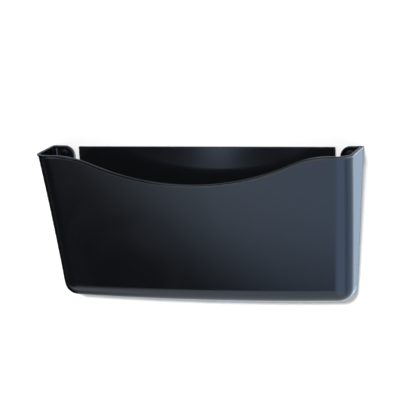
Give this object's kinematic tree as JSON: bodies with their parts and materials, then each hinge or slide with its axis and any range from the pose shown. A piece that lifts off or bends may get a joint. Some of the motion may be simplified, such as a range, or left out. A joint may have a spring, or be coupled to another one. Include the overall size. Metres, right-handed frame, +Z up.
{
  "type": "hanging document pocket",
  "caption": "Moulded wall pocket with a scooped front that holds letter files upright and hangs by keyholed ears on wall screws.",
  "frame": {"origin": "on the tray's back face, where it lies against the wall, at mid width and level with the centres of the two screws", "axes": "+Z up, +Y into the wall, +X to the right seen from the front"},
  "size_m": [0.3698, 0.0834, 0.175],
  "materials": {
    "black_moulding": "satin-gloss injection-moulded black plastic",
    "blackened_steel": "black-oxide steel screw",
    "grey_nylon": "moulded grey nylon"
  },
  "bodies": {
    "wall_fixings": {"screw_left": "blackened_steel", "screw_right": "blackened_steel", "plug_left": "grey_nylon", "plug_right": "grey_nylon"},
    "pocket": {"pocket_shell": "black_moulding"}
  },
  "joints": [
    {"name": "pocket_lift", "type": "slide", "parent": "wall_fixings", "child": "pocket", "axis": [0, 0, 1], "range_m": [0, 0.0105]}
  ]
}
